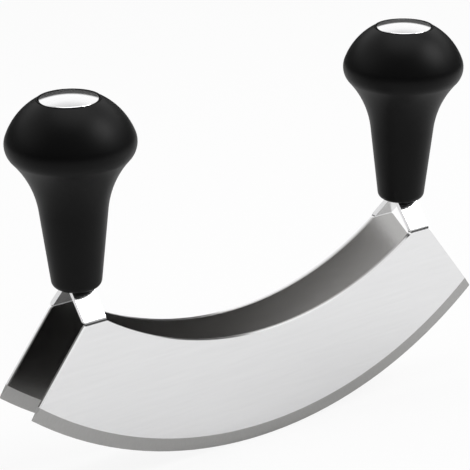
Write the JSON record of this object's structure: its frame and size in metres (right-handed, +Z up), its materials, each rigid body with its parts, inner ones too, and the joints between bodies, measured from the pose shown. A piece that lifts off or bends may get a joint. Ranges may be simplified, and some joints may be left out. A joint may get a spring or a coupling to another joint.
{
  "type": "mezzaluna",
  "caption": "Rocking herb chopper: parallel steel crescent blades with tangs bent inwards into upright mushroom-shaped plastic knobs with polished steel caps.",
  "frame": {"origin": "middle of the object, at the height of the lowest point of the cutting edges", "axes": "+X along the blades, +Y across them from the front blade to the rear blade, +Z up to the knobs"},
  "size_m": [0.18, 0.0408, 0.1303],
  "materials": {
    "blade_steel": "polished faces, cross-ground edge band",
    "knob_plastic": "satin moulded",
    "cap_steel": "mirror polished",
    "fixing_steel": "zinc plated"
  },
  "bodies": {
    "root": {"front_blade": "blade_steel", "rear_blade": "blade_steel", "left_knob": "knob_plastic", "left_cap": "cap_steel", "left_stud": "fixing_steel", "left_rivets": "fixing_steel", "left_washer": "fixing_steel", "left_nut": "fixing_steel", "right_knob": "knob_plastic", "right_cap": "cap_steel", "right_stud": "fixing_steel", "right_rivets": "fixing_steel", "right_washer": "fixing_steel", "right_nut": "fixing_steel"}
  },
  "joints": []
}
